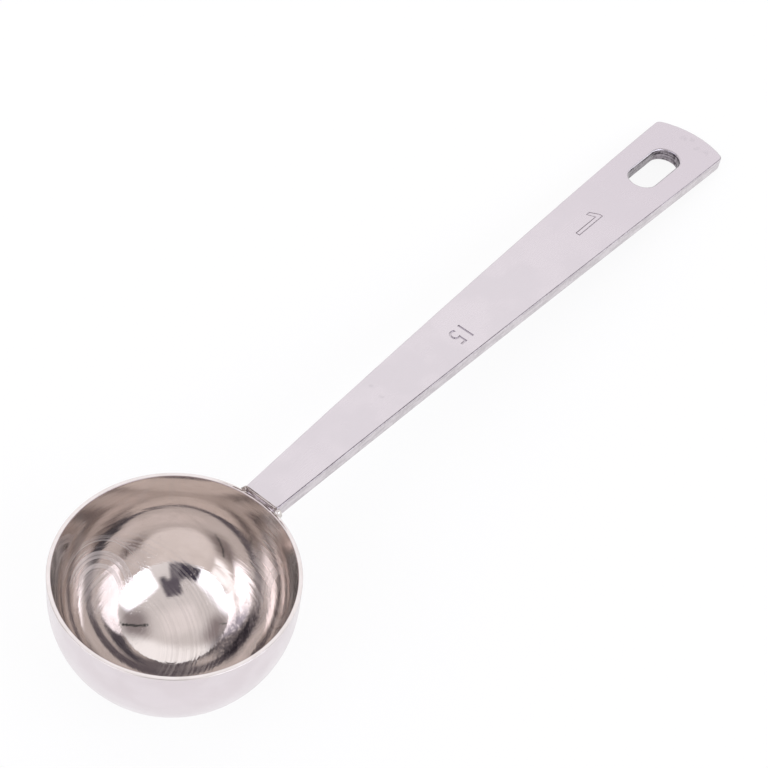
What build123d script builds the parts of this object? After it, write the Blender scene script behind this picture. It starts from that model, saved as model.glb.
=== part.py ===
from build123d import *
import os
from math import asin, atan2, cos, hypot, sin

# Measuring scoop: a deep-drawn bowl with a flat stamped handle butted against its wall and welded there.
# It lies on a table, as it does in use: the bowl's round bottom and the tip's lower edge touch Z = 0.
# +X runs along the handle, +Y to its left, and the origin is under the middle of the whole spoon.
# Heights and distances named here are the spoon's own: from the plane of the mouth and from its axis.

# Bowl, drawn from sheet: a short straight wall over a bottom that is half a ball. Brimful it holds 15 ml.
bowl_outer_radius = 18.0
bowl_wall = 0.68
straight_wall_depth = 4.3
rim_rounding_share = 0.2
# The handle's straight end presses a shallow flat into the wall.
seat_depth_share = 0.36
seat_margin = 0.2

# Handle, stamped from strip and bowed upwards a little along its length.
handle_thickness = 2.45
handle_reach = 120.3
butt_width = 6.2
tip_width = 14.5
# Each side is one gentle curve, drawn towards this width at this share of the reach.
flare_width = 13.66
flare_share = 0.78
tip_bow = 1.9
tip_corner_radius = 0.8
butt_corner_radius = 0.6
butt_height = 0.8
tip_height = 1.9
arch_height = 0.82
handle_edge_radius = 0.3

# Hanging slot near the tip, with a softened upper edge.
slot_length = 12.7
slot_width = 5.34
slot_to_tip = 14.2
slot_edge_radius = 0.45

# Weld metal where the handle meets the wall.
bead_leg = 1.1
bead_length_share = 0.96
bead_crown_share = 0.12
nugget_radius = 0.75
nugget_drop = 0.5
# A nugget's centre lies this far outside the corner, along the handle and across it, in its own radii.
nugget_offset_shares = (0.27, 0.13)

# How far a crossing or cutting solid runs past what it crosses or cuts.
overrun = 5.0

# What follows from these sizes.
bowl_inner_radius = bowl_outer_radius - bowl_wall
seat_distance = bowl_outer_radius - bowl_wall * seat_depth_share
tip_distance = seat_distance + handle_reach
underside_at_seat = butt_height - handle_thickness
underside_at_tip = tip_height - handle_thickness

# The spoon's tilt on the table: the floor touches the round bottom, whose centre lies where the straight
# wall ends, and passes under the tip's lower edge.
tip_over_centre = underside_at_tip + straight_wall_depth
tilt = asin(bowl_outer_radius / hypot(tip_distance, tip_over_centre)) + atan2(tip_over_centre, tip_distance)

# Where the mouth's centre stands over the floor and along the spoon.
mouth_rise = straight_wall_depth * cos(tilt) + bowl_outer_radius
back_end = -straight_wall_depth * sin(tilt) - bowl_outer_radius
tip_end = tip_distance * cos(tilt) + tip_height * sin(tilt)
mouth_centre = (-(back_end + tip_end) / 2, 0, mouth_rise)
mouth = Plane(origin=mouth_centre, x_dir=(cos(tilt), 0, -sin(tilt)), z_dir=(sin(tilt), 0, cos(tilt)))
# The upright plane along the spoon: the handle lies to its right, and the mouth's normal points up it.
lengthwise = Plane(origin=mouth.origin, x_dir=mouth.x_dir, z_dir=-mouth.y_dir)
upwards = Axis(mouth.origin, mouth.z_dir)


def top_height(share):
    """Height of the handle's top over the mouth's plane, at a share of the way from the seat to the tip."""
    rise = (tip_height - butt_height) * share
    return butt_height + rise + 4 * arch_height * share * (1 - share)


def bowed_face(drop):
    """Three points along the handle's top, lowered by drop, from before the seat to past the tip."""
    past_share = overrun / handle_reach
    point_shares = (-past_share, 1 / 2, 1 + past_share)
    return [(seat_distance + share * handle_reach, top_height(share) - drop) for share in point_shares]


# The bowl: the wall's section, revolved about the mouth's axis.
with BuildPart() as bowl:
    with BuildSketch(lengthwise):
        with BuildLine():
            outer = CenterArc((0, -straight_wall_depth), bowl_outer_radius, -90, 90)
            inner = CenterArc((0, -straight_wall_depth), bowl_inner_radius, -90, 90)
            Polyline(outer @ 1, (bowl_outer_radius, 0), (bowl_inner_radius, 0), inner @ 1)
            Line(outer @ 0, inner @ 0)
        make_face()
    revolve(axis=upwards)
    # The trimmed rim is dressed: both of its edges are eased, and a level ring is left between them.
    rim = bowl.faces().sort_by(upwards)[-1]
    fillet(rim.edges(), radius=bowl_wall * rim_rounding_share)
    # The flat that the handle's end presses into the wall reaches down past the weld bead.
    with BuildSketch(mouth):
        with Locations((seat_distance, 0)):
            Rectangle(overrun, 2 * bowl_outer_radius, align=(Align.MIN, Align.CENTER))
    extrude(amount=underside_at_seat - bead_leg - seat_margin, mode=Mode.SUBTRACT)
bowl.part.label = "bowl"

# The handle: the bowed strip, trimmed to the blank's outline with its slot.
with BuildPart() as handle:
    with BuildSketch(lengthwise):
        with BuildLine():
            top = ThreePointArc(*bowed_face(0))
            underside = ThreePointArc(*bowed_face(handle_thickness))
            Line(top @ 0, underside @ 0)
            Line(top @ 1, underside @ 1)
        make_face()
    extrude(amount=tip_width, both=True)
    with BuildSketch(mouth) as blank:
        with BuildLine():
            corner_distance = tip_distance - tip_bow
            side = Bezier(
                (seat_distance, butt_width / 2),
                (seat_distance + handle_reach * flare_share, flare_width / 2),
                (corner_distance, tip_width / 2),
            )
            mirror(side, about=Plane.XZ)
            ThreePointArc(side @ 1, (tip_distance, 0), (corner_distance, -tip_width / 2))
            Line(side @ 0, (seat_distance, -butt_width / 2))
        make_face()
        fillet(blank.vertices().group_by(Axis.X)[-1], radius=tip_corner_radius)
        fillet(blank.vertices().group_by(Axis.X)[0], radius=butt_corner_radius)
        with Locations((tip_distance - slot_to_tip, 0)):
            SlotOverall(slot_length, slot_width, mode=Mode.SUBTRACT)
    extrude(amount=handle_thickness + tip_height + arch_height + overrun, both=True, mode=Mode.INTERSECT)
    # Stamping leaves every long edge eased. The slot's upper edge is softer, for a hook to slide in.
    faces = handle.faces().sort_by(upwards)
    outer_edges = faces[-1].outer_wire().edges() + faces[0].edges()
    slot_edges = faces[-1].inner_wires()[0].edges()
    fillet(outer_edges, radius=handle_edge_radius)
    fillet(slot_edges, radius=slot_edge_radius)
handle.part.label = "handle"

# The weld bead under the handle: a fillet with a slight crown, laid between its underside and the flat.
with BuildPart() as weld_bead:
    with BuildSketch(lengthwise):
        with BuildLine():
            toe = (seat_distance, underside_at_seat - bead_leg)
            nose = (seat_distance + bead_leg, underside_at_seat)
            root_height = underside_at_seat + handle_edge_radius
            SagittaArc(toe, nose, -bead_leg * bead_crown_share)
            Polyline(nose, (nose[0], root_height), (seat_distance, root_height), toe)
        make_face()
    straight_butt = butt_width - 2 * butt_corner_radius
    extrude(amount=straight_butt * bead_length_share / 2, both=True)
    add(handle.part, mode=Mode.SUBTRACT)
weld_bead.part.label = "weld_bead"

# The weld nuggets: a drop of metal in each corner between the handle's side and the bowl's wall.
with BuildPart() as weld_nuggets:
    nugget_distance = seat_distance + nugget_radius * nugget_offset_shares[0]
    nugget_side = butt_width / 2 + nugget_radius * nugget_offset_shares[1]
    with Locations(mouth):
        with Locations(*[(nugget_distance, side, -nugget_drop) for side in (nugget_side, -nugget_side)]):
            Sphere(nugget_radius)
    with BuildSketch(mouth):
        Circle(bowl_outer_radius)
        with Locations((seat_distance, 0)):
            Rectangle(overrun, 2 * bowl_outer_radius, align=(Align.MIN, Align.CENTER), mode=Mode.SUBTRACT)
    extrude(amount=nugget_drop + nugget_radius + overrun, both=True, mode=Mode.SUBTRACT)
    add(handle.part, mode=Mode.SUBTRACT)
weld_nuggets.part.label = "weld_nuggets"

os.makedirs("parts", exist_ok=True)
export_step(bowl.part, "parts/bowl.step")
export_step(handle.part, "parts/handle.step")
export_step(weld_bead.part, "parts/weld_bead.step")
export_step(weld_nuggets.part, "parts/weld_nuggets.step")
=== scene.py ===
"""A stainless measuring scoop: a polished round bowl, a flat flared handle, and the weld that joins them.

Lengths are in metres. Pieces are shaped in the spoon's own frame, whose origin is the middle of the mouth,
with +X along the handle and +Z out of the mouth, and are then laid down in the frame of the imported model.
Finishes read the spoon's own frame in millimetres, and their relief is in micrometres.
"""
import logging
from contextlib import contextmanager
from dataclasses import dataclass
from enum import Enum
from math import asin, atan2, cos, degrees, hypot, pi, radians, sin, sqrt
from typing import Callable, Iterator, Optional, Union

import bmesh
import bpy
from bmesh.types import BMEdge
from bpy.types import Material, Node, NodeSocket, NodeTree, Object
from mathutils import Matrix, Vector


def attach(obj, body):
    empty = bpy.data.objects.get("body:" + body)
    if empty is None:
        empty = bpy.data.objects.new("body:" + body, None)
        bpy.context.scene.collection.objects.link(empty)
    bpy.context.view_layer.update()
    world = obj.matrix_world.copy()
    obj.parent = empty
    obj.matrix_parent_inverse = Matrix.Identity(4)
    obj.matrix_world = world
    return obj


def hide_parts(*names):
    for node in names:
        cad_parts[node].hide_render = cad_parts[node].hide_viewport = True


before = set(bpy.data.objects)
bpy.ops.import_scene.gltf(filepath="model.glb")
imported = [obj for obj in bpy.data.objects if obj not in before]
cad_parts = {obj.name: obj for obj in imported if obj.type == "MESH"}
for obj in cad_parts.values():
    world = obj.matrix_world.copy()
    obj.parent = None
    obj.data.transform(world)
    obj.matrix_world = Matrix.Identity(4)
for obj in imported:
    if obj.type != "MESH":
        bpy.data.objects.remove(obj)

LOG = logging.getLogger("scoop")
MM = 0.001
MICROMETRE = 1.0e-6
# Places closer than this are one. A loose match also allows for what an operator rounds off.
TINY = 1e-7
LOOSE = 10 * TINY

Triple = tuple[float, float, float]
Colour = tuple[float, float, float]
Span = tuple[float, float]
Ramp = tuple[float, float, float, float]
CENTRE: Triple = (0.0, 0.0, 0.0)
# What a cloudy pattern is about.
MIDDLE_TONE = 0.5


# ---------------------------------------------------------------- bench tools


class Element(Enum):
    """What an edit-mode step picks."""

    VERTEX = "VERT"
    EDGE = "EDGE"
    FACE = "FACE"


def deselect_all() -> None:
    """Leaves edit mode and deselects every object."""
    if bpy.context.object is not None and bpy.context.object.mode != "OBJECT":
        bpy.ops.object.mode_set(mode="OBJECT")
    bpy.ops.object.select_all(action="DESELECT")


def take_up(piece: Object) -> None:
    """Makes one piece the only selected and the active object.

    Args:
        piece: The object to work on.
    """
    deselect_all()
    piece.select_set(True)
    bpy.context.view_layer.objects.active = piece


@contextmanager
def editing(piece: Object) -> Iterator[None]:
    """Takes a piece up and holds it in edit mode, at first with nothing picked.

    Args:
        piece: The object to work on.
    """
    take_up(piece)
    bpy.ops.object.mode_set(mode="EDIT")
    bpy.ops.mesh.select_mode(type="VERT")
    bpy.ops.mesh.select_all(action="DESELECT")
    yield
    bpy.ops.object.mode_set(mode="OBJECT")


def pick(piece: Object, element: Element, test: Callable[..., bool]) -> None:
    """Picks the mesh elements that pass a test, and nothing else, in edit mode.

    Args:
        piece: The object in edit mode.
        element: Vertices, edges or faces.
        test: Takes one element and says whether it is picked.
    """
    bpy.ops.mesh.select_mode(type=element.value)
    bpy.ops.mesh.select_all(action="DESELECT")
    mesh = bmesh.from_edit_mesh(piece.data)
    members = {Element.VERTEX: mesh.verts, Element.EDGE: mesh.edges, Element.FACE: mesh.faces}[element]
    members.ensure_lookup_table()
    members.index_update()
    for member in [member for member in members if test(member)]:
        member.select_set(True)
    mesh.select_flush_mode()
    bmesh.update_edit_mesh(piece.data)


def face_outwards() -> None:
    """Merges doubles and points every face of the open mesh outwards."""
    bpy.ops.mesh.select_all(action="SELECT")
    bpy.ops.mesh.remove_doubles(threshold=TINY)
    bpy.ops.mesh.normals_make_consistent(inside=False)


def round_picked(radius: float, segments: int, affect: str = "EDGES") -> None:
    """Rounds the picked edges or corners.

    Args:
        radius: The rounding's radius.
        segments: How many faces go round it.
        affect: EDGES or VERTICES, Blender's names for which of the two.
    """
    bpy.ops.mesh.bevel(offset=radius, segments=segments, profile=0.5, affect=affect)


def apply_modifier(piece: Object, kind: str, **settings: object) -> None:
    """Adds one modifier to a piece, sets it and applies it.

    Args:
        piece: The object that gets the modifier.
        kind: Blender's name for the kind of modifier.
        **settings: The modifier's properties.
    """
    take_up(piece)
    bpy.ops.object.modifier_add(type=kind)
    modifier = piece.modifiers[-1]
    for name, value in settings.items():
        setattr(modifier, name, value)
    bpy.ops.object.modifier_apply(modifier=modifier.name)


def smooth(piece: Object, crease_degrees: float = 40.0) -> None:
    """Shades a piece smooth up to a crease angle, and lets its large faces keep their own normals.

    Args:
        piece: The finished mesh.
        crease_degrees: Edges sharper than this stay creased.
    """
    take_up(piece)
    bpy.ops.object.shade_smooth_by_angle(angle=radians(crease_degrees))
    apply_modifier(piece, "WEIGHTED_NORMAL", mode="FACE_AREA", weight=90, keep_sharp=True)


def name_piece(piece: Object, name: str) -> Object:
    """Names an object and its mesh.

    Args:
        piece: The object.
        name: The name of both.

    Returns:
        The same object.
    """
    piece.name = name
    piece.data.name = name
    return piece


# ---------------------------------------------------------------- the whole spoon


@dataclass(frozen=True)
class Fit:
    """The sizes that more than one piece is fitted to, and where the spoon lies."""

    bowl_outer_radius: float = 18.0 * MM
    bowl_wall: float = 0.68 * MM
    straight_wall_depth: float = 4.3 * MM
    seat_depth_share: float = 0.36
    handle_thickness: float = 2.45 * MM
    handle_reach: float = 120.3 * MM
    butt_width: float = 6.2 * MM
    butt_height: float = 0.8 * MM
    tip_height: float = 1.9 * MM

    @property
    def seat_distance(self) -> float:
        """How far the handle's end stands from the bowl's axis."""
        return self.bowl_outer_radius - self.bowl_wall * self.seat_depth_share

    @property
    def tip_distance(self) -> float:
        """How far the tip is from the bowl's axis."""
        return self.seat_distance + self.handle_reach

    @property
    def underside_at_seat(self) -> float:
        """The height of the handle's lower face at the seat, over the mouth's plane."""
        return self.butt_height - self.handle_thickness

    @property
    def tilt(self) -> float:
        """The lean of the mouth, with the round bottom and the tip's lower edge on the table."""
        rise = self.tip_height - self.handle_thickness + self.straight_wall_depth
        return asin(self.bowl_outer_radius / hypot(self.tip_distance, rise)) + atan2(rise, self.tip_distance)

    @property
    def mouth_centre(self) -> Vector:
        """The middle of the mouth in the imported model's frame."""
        back = -self.straight_wall_depth * sin(self.tilt) - self.bowl_outer_radius
        tip = self.tip_distance * cos(self.tilt) + self.tip_height * sin(self.tilt)
        rise = self.straight_wall_depth * cos(self.tilt) + self.bowl_outer_radius
        return Vector((-(back + tip) / 2, 0.0, rise))

    def place(self) -> Matrix:
        """The spoon's own frame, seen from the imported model's."""
        return Matrix.Translation(self.mouth_centre) @ Matrix.Rotation(self.tilt, 4, "Y")

    def lay_down(self, piece: Object) -> None:
        """Moves a piece from the spoon's own frame to its place, and leaves the place in its mesh.

        Args:
            piece: The object, shaped in the spoon's own frame.
        """
        take_up(piece)
        piece.matrix_world = self.place()
        bpy.context.view_layer.update()
        bpy.ops.object.transform_apply(location=True, rotation=True, scale=True)


# ---------------------------------------------------------------- the tools of the finishes


Key = Union[str, int]
Inputs = dict[Key, object]


class Shader:
    """Writes the nodes of one material, or of the world."""

    def __init__(self, tree: NodeTree) -> None:
        """Empties a node tree and keeps it.

        Args:
            tree: The node tree to write.
        """
        self.tree = tree
        tree.nodes.clear()

    def feed(self, node: Node, inputs: Inputs) -> None:
        """Links or sets inputs of a node.

        Args:
            node: The node.
            inputs: A signal, a number or a tuple for each input, by its name or number.
        """
        for key, value in inputs.items():
            if isinstance(value, Signal):
                self.tree.links.new(value.socket, node.inputs[key])
            else:
                node.inputs[key].default_value = value

    def add(self, kind: str, inputs: Optional[Inputs] = None, **settings: object) -> Node:
        """Adds a node.

        Args:
            kind: The node's type.
            inputs: What its inputs get.
            **settings: Its properties.

        Returns:
            The node.
        """
        node = self.tree.nodes.new(kind)
        for name, value in settings.items():
            setattr(node, name, value)
        self.feed(node, inputs or {})
        return node

    def signal(self, output: Key, kind: str, inputs: Optional[Inputs] = None, **settings: object) -> "Signal":
        """Adds a node and takes what it gives.

        Args:
            output: The name or number of its output.
            kind: The node's type.
            inputs: What its inputs get.
            **settings: Its properties.

        Returns:
            The output.
        """
        return Signal(self, self.add(kind, inputs, **settings).outputs[output])

    def join(self, *parts: "Number") -> "Signal":
        """A vector of three parts."""
        return self.signal(0, "ShaderNodeCombineXYZ", dict(enumerate(parts)))


class Signal:
    """What a node gives: a number, a vector or a colour. Arithmetic on it adds the nodes that do it."""

    def __init__(self, shader: Shader, socket: NodeSocket) -> None:
        """Keeps where the signal comes from.

        Args:
            shader: What writes the nodes.
            socket: The node's output.
        """
        self.shader = shader
        self.socket = socket

    def math(self, operation: str, *others: "Number") -> "Signal":
        """Does arithmetic on this number and others.

        Args:
            operation: Blender's name for it.
            *others: The other terms.

        Returns:
            The result.
        """
        terms: Inputs = dict(enumerate((self, *others)))
        return self.shader.signal(0, "ShaderNodeMath", terms, operation=operation)

    def __add__(self, other: "Number") -> "Signal":
        """The sum of this number and another."""
        return self.math("ADD", other)

    def __sub__(self, other: "Number") -> "Signal":
        """This number less another."""
        return self.math("SUBTRACT", other)

    def __rsub__(self, other: float) -> "Signal":
        """A plain number less this one."""
        return self.math("MULTIPLY_ADD", -1.0, other)

    def __mul__(self, other: "Number") -> "Signal":
        """The product of this number and another."""
        return self.math("MULTIPLY", other)

    def __abs__(self) -> "Signal":
        """This number without its sign."""
        return self.math("ABSOLUTE")

    def measure(self, operation: str, other: Triple) -> "Signal":
        """One number of this vector and a fixed one, by Blender's name for the operation."""
        both: Inputs = {0: self, 1: tuple(other)}
        return self.shader.signal("Value", "ShaderNodeVectorMath", both, operation=operation)

    def along(self, direction: Triple) -> "Signal":
        """How far this vector reaches in a direction."""
        return self.measure("DOT_PRODUCT", direction)

    def distance(self, point: Triple) -> "Signal":
        """How far this place is from a point."""
        return self.measure("DISTANCE", point)

    def parts(self) -> list["Signal"]:
        """The three parts of this vector."""
        node = self.shader.add("ShaderNodeSeparateXYZ", {0: self})
        return [Signal(self.shader, output) for output in node.outputs]

    def ramp(self, start: float, end: float, low: float = 0.0, high: float = 1.0) -> "Signal":
        """Turns a range of this number smoothly into another.

        Args:
            start: The value that gives low.
            end: The value that gives high.
            low: The result at start.
            high: The result at end.

        Returns:
            The result.
        """
        inputs: Inputs = {"Value": self, "From Min": start, "From Max": end, "To Min": low, "To Max": high}
        return self.shader.signal("Result", "ShaderNodeMapRange", inputs, interpolation_type="SMOOTHSTEP")

    def fade(self, start: float, end: float, high: float = 1.0) -> "Signal":
        """Falls smoothly from high at start to nothing at end."""
        return self.ramp(start, end, high, 0.0)

    def noise(self, scale: float, detail: float = 2.0, roughness: float = 0.5) -> "Signal":
        """Reads a cloudy pattern at this place.

        Args:
            scale: How many clouds there are to a unit.
            detail: How many finer layers it has.
            roughness: How strong the finer layers are.

        Returns:
            The pattern's value, about 0.5.
        """
        inputs: Inputs = {"Vector": self, "Scale": scale, "Detail": detail, "Roughness": roughness}
        return self.shader.signal(0, "ShaderNodeTexNoise", inputs, noise_dimensions="3D")

    def blend(self, first: Union["Signal", Colour], second: Union["Signal", Colour]) -> "Signal":
        """Mixes two colours, this number being the share of the second.

        Args:
            first: The first colour.
            second: The second colour.

        Returns:
            The mixed colour.
        """
        low, high = (value if isinstance(value, Signal) else (*value, 1.0) for value in (first, second))
        return self.shader.signal(2, "ShaderNodeMix", {0: self, 6: low, 7: high}, data_type="RGBA")


Number = Union[Signal, float]


@dataclass(frozen=True)
class Patches:
    """Where a cloudy pattern rises past a level.

    Attributes:
        scale: How many clouds there are to a millimetre.
        detail: How many finer layers the pattern has.
        level: The pattern's values that count as outside and as inside a patch.
        roughness: How strong the finer layers are.
    """

    scale: float
    detail: float
    level: Span
    roughness: float = 0.5

    def at(self, place: Signal) -> Signal:
        """How far inside a patch a place is, from 0 to 1."""
        return place.noise(self.scale, self.detail, self.roughness).ramp(*self.level)


class Coat(Shader):
    """The nodes of one finish, and where a point lies in the spoon's own frame, in millimetres."""

    def __init__(self, tree: NodeTree, fit: Fit) -> None:
        """Starts a material with bare steel.

        Args:
            tree: The material's node tree.
            fit: The spoon's sizes and place, which the patterns follow.
        """
        super().__init__(tree)
        self.steel = self.add("ShaderNodeBsdfPrincipled", {"Metallic": 1.0})
        self.add("ShaderNodeOutputMaterial", {"Surface": Signal(self, self.steel.outputs[0])})
        inputs: Inputs = {
            "Vector": self.signal("Object", "ShaderNodeTexCoord"),
            "Location": tuple(fit.mouth_centre),
            "Rotation": (0.0, fit.tilt, 0.0),
            "Scale": (MM, MM, MM),
        }
        self.place = self.signal("Vector", "ShaderNodeMapping", inputs, vector_type="TEXTURE")
        self.x, self.y, self.z = self.place.parts()

    def finish(self, colour: Signal, roughness: Signal, height: Signal) -> None:
        """Gives the steel its look.

        Args:
            colour: The metal's colour.
            roughness: How dull it is.
            height: Its relief, in micrometres.
        """
        relief: Inputs = {"Strength": 1.0, "Distance": MICROMETRE, "Height": height}
        normal = self.signal("Normal", "ShaderNodeBump", relief)
        self.feed(self.steel, {"Base Color": colour, "Roughness": roughness, "Normal": normal})


# ---------------------------------------------------------------- the finishes


@dataclass(frozen=True)
class Steel:
    """Bare stainless steel. Each kind of polish is a class of its own.

    Attributes:
        name: The material's name.
        colour: The metal's colour.
        second_colour: The colour that it shades into.
        roughness: How dull it is.
        roughness_spread: How much that varies.
    """

    name: str
    colour: Colour
    second_colour: Colour
    roughness: float
    roughness_spread: float

    def material(self, fit: Fit) -> Material:
        """Writes the finish's material.

        Args:
            fit: The spoon's sizes and place, which the grain follows.

        Returns:
            The material.
        """
        material = bpy.data.materials.new(self.name)
        material.use_nodes = True
        self.write(Coat(material.node_tree, fit))
        return material

    def write(self, coat: Coat) -> None:
        """Writes what the kind of polish does to colour, roughness and relief.

        Args:
            coat: The material's nodes.
        """
        raise NotImplementedError

    def tint(self, share: Signal) -> Signal:
        """The metal's colour, with a share of the second one."""
        return share.blend(self.colour, self.second_colour)

    def dullness(self, pattern: Signal) -> Signal:
        """The metal's roughness, spread by a pattern about 0."""
        return pattern * self.roughness_spread + self.roughness


@dataclass(frozen=True)
class Lines:
    """Fine lines that come and go along their length.

    Attributes:
        closeness: How many lines there are to a unit across them.
        change: How quickly a line changes along its length.
        detail: How many finer lines lie between the broad ones.
        fineness: How strong the finer lines are.
    """

    closeness: float
    change: float
    detail: float = 3.0
    fineness: float = 0.6

    def at(self, coat: Coat, across: Signal) -> Signal:
        """Reads the lines.

        Args:
            coat: The material's nodes.
            across: How far across the lines a point is.

        Returns:
            The pattern's value, about 0.5.
        """
        spot = coat.join(across * self.closeness, coat.x * self.change, coat.y * self.change)
        return spot.noise(1.0, self.detail, self.fineness)


@dataclass(frozen=True)
class WheelMark:
    """A patch where a small polishing wheel left rings of its own. Lengths are in millimetres.

    Attributes:
        middle: The rings' middle.
        towards: The side of it that they are on.
        inner: The smallest ring's radius.
        outer: The largest ring's radius.
        depth: The rings' relief, in micrometres.
        dullness: The roughness that they add.
        closeness: How many rings there are to a millimetre.
        silver: How much of the metal's mirror they take away.
        inner_softness: How gradually the rings start.
        outer_softness: How gradually they end.
        side_softness: How gradually they start towards their side.
        ring_change: How quickly a ring changes along its length.
        ring_level: The values of the ring pattern that count as outside and as inside a scratch.
        patches: Where the rings show.
    """

    middle: Triple
    towards: Triple
    inner: float
    outer: float
    depth: float
    dullness: float
    closeness: float
    silver: float
    inner_softness: float = 2.0
    outer_softness: float = 3.0
    side_softness: float = 3.0
    ring_change: float = 0.012
    ring_level: Span = (0.4, 0.62)
    patches: Patches = Patches(0.16, 1.0, (0.34, 0.5))

    def at(self, coat: Coat) -> Signal:
        """How deep in a ring a point is, from 0 to 1.

        Args:
            coat: The material's nodes.

        Returns:
            The rings' pattern.
        """
        reach = coat.place.distance(self.middle)
        rings = Lines(self.closeness, self.ring_change, 1.0).at(coat, reach)
        starts = reach.ramp(self.inner, self.inner + self.inner_softness)
        ends = reach.fade(self.outer - self.outer_softness, self.outer)
        beyond = coat.place.along(self.towards) - Vector(self.middle).dot(Vector(self.towards))
        mask = self.patches.at(coat.join(coat.y, coat.z, coat.x)) * starts * ends
        return rings.ramp(*self.ring_level) * mask * beyond.ramp(0.0, self.side_softness)


@dataclass(frozen=True)
class SpunPolish(Steel):
    """Polish put on while the bowl turns: lines run round its axis, and wheel marks cross them in patches.

    Attributes:
        line_depth: The relief of the lines round the axis, in micrometres, as all depths here.
        wave_depth: The relief of the slow waves in the sheet.
        scuff_depth: The relief of slanting scuffs.
        pit_depth: The relief of small pits.
        anisotropy: How much the lines draw a gleam out across them.
        haze: How much of the mirror the polish lacks.
        flank_haze: The roughness added on the two far flanks.
        silver: How much of the mirror is worn off the far flanks in streaks.
        painted_reflection: How dark the painted reflection low in the bowl is: a speckled dark patch that
            stands for the dark camera side mirrored there.
        marks: The wheel marks.
    """

    line_depth: float = 0.0
    wave_depth: float = 0.0
    scuff_depth: float = 0.0
    pit_depth: float = 0.0
    anisotropy: float = 0.0
    haze: float = 0.0
    flank_haze: float = 0.0
    silver: float = 0.0
    painted_reflection: float = 0.0
    marks: tuple[WheelMark, ...] = ()

    # Two directions in the mouth's plane. The flanks are well out in the far one, to both sides of it.
    sideways: Triple = (0.634, -0.773, 0.0)
    far: Triple = (0.7, 0.715, 0.0)
    flank_side: Span = (7.0, 12.0)
    flank_far: Span = (3.0, 6.5)

    fine_lines: Lines = Lines(62.0, 0.1)
    coarse_lines: Lines = Lines(24.0, 0.06, 2.0)
    fine_share: float = 0.35
    line_strength: float = 0.6
    flank_line_strength: float = 0.9
    streak_strength: float = 1.2
    wave_scale: float = 0.16
    mottle_scale: float = 0.22
    mottle_level: Span = (0.35, 0.65)
    gleam_turn: float = 0.25

    worn_far_starts: Span = (3.0, 6.0)
    worn_far_ends: Span = (9.5, 12.0)
    worn_side_starts: Span = (9.0, 12.0)
    worn_side_ends: Span = (13.5, 15.5)
    worn_streaks: Ramp = (0.3, 0.62, 0.35, 1.0)

    scuff_lines: Lines = Lines(2.6, 0.08)
    scuff_across: Triple = (0.3, 0.8, 0.5)
    scuffed: Patches = Patches(0.13, 1.0, (0.5, 0.62))
    pits: Patches = Patches(4.5, 0.0, (0.7, 0.78))
    pitted: Patches = Patches(0.22, 1.0, (0.48, 0.6))

    # The painted reflection: a dark speckled patch low in the bowl, where the dark camera side is mirrored.
    painted_reflection_colour: Colour = (0.15, 0.135, 0.15)
    painted_reflection_middle: Span = (7.8, -5.6)
    painted_reflection_half_size: Span = (5.2, 3.2)
    painted_reflection_core_share: float = 0.4
    painted_reflection_scale: float = 1.6
    painted_reflection_specks: Ramp = (0.36, 0.54, 0.6, 1.0)

    def write(self, coat: Coat) -> None:
        """Writes the lines round the bowl's axis and the marks across them.

        Args:
            coat: The material's nodes.
        """
        place = coat.place
        from_axis = coat.join(coat.x, coat.y, 0.0).distance(CENTRE)
        down = from_axis.math("ARCTAN2", coat.z * -1.0)
        aside = abs(place.along(self.sideways))
        beyond = place.along(self.far)
        flank = aside.ramp(*self.flank_side) * beyond.ramp(*self.flank_far)
        coarse = self.coarse_lines.at(coat, down)
        lines = self.fine_lines.at(coat, down) * self.fine_share + coarse
        lines = lines * (flank * self.flank_line_strength + self.line_strength)
        height = lines * self.line_depth + place.noise(self.wave_scale, detail=1.0) * self.wave_depth
        mottle = place.noise(self.mottle_scale, detail=3.0)
        colour = self.tint(mottle.ramp(*self.mottle_level))
        roughness = self.dullness((coarse - MIDDLE_TONE) * self.streak_strength + (mottle - MIDDLE_TONE))
        roughness = roughness + flank * self.flank_haze
        metal: Number = 1.0 - self.haze
        if self.silver:
            metal = metal - self.worn_flanks(aside, beyond, coarse)
        for mark in self.marks:
            ring = mark.at(coat)
            height = height + ring * mark.depth
            roughness = roughness + ring * mark.dullness
            metal = metal - ring * mark.silver
        if self.scuff_depth:
            scuffs = self.scuff_lines.at(coat, place.along(self.scuff_across)) * self.scuffed.at(place)
            height = height + scuffs * self.scuff_depth
        if self.pit_depth:
            height = height + self.pits.at(place) * self.pitted.at(place) * self.pit_depth
        # Painted reflection: the colour turns dark in a speckled patch low in the bowl.
        if self.painted_reflection:
            colour = self.painted_reflection_at(coat).blend(colour, self.painted_reflection_colour)
        coat.finish(colour, roughness, height)
        coat.feed(coat.steel, {"Metallic": metal})
        if self.anisotropy:
            self.draw_gleam(coat)

    def worn_flanks(self, aside: Signal, beyond: Signal, streaks: Signal) -> Signal:
        """How much of the mirror is worn off the two far flanks.

        Args:
            aside: How far to either side a point is.
            beyond: How far towards the far side it is.
            streaks: The lines that the wear follows.

        Returns:
            A share from 0 to 1.
        """
        worn = beyond.ramp(*self.worn_far_starts) * beyond.fade(*self.worn_far_ends)
        worn = worn * aside.ramp(*self.worn_side_starts, 0.0, self.silver) * aside.fade(*self.worn_side_ends)
        return worn * streaks.ramp(*self.worn_streaks)

    def painted_reflection_at(self, coat: Coat) -> Signal:
        """How dark the painted reflection is at a point: a speckled patch that stands for the dark camera
        side mirrored low in the bowl.

        Args:
            coat: The material's nodes.

        Returns:
            A share from 0 to 1.
        """
        shares = [
            abs(across - middle).fade(self.painted_reflection_core_share * half, half)
            for across, middle, half in zip((coat.x, coat.y), self.painted_reflection_middle, self.painted_reflection_half_size)
        ]
        specks = coat.place.noise(self.painted_reflection_scale, detail=4.0, roughness=0.7).ramp(*self.painted_reflection_specks)
        return shares[0] * shares[1] * specks * self.painted_reflection

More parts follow.
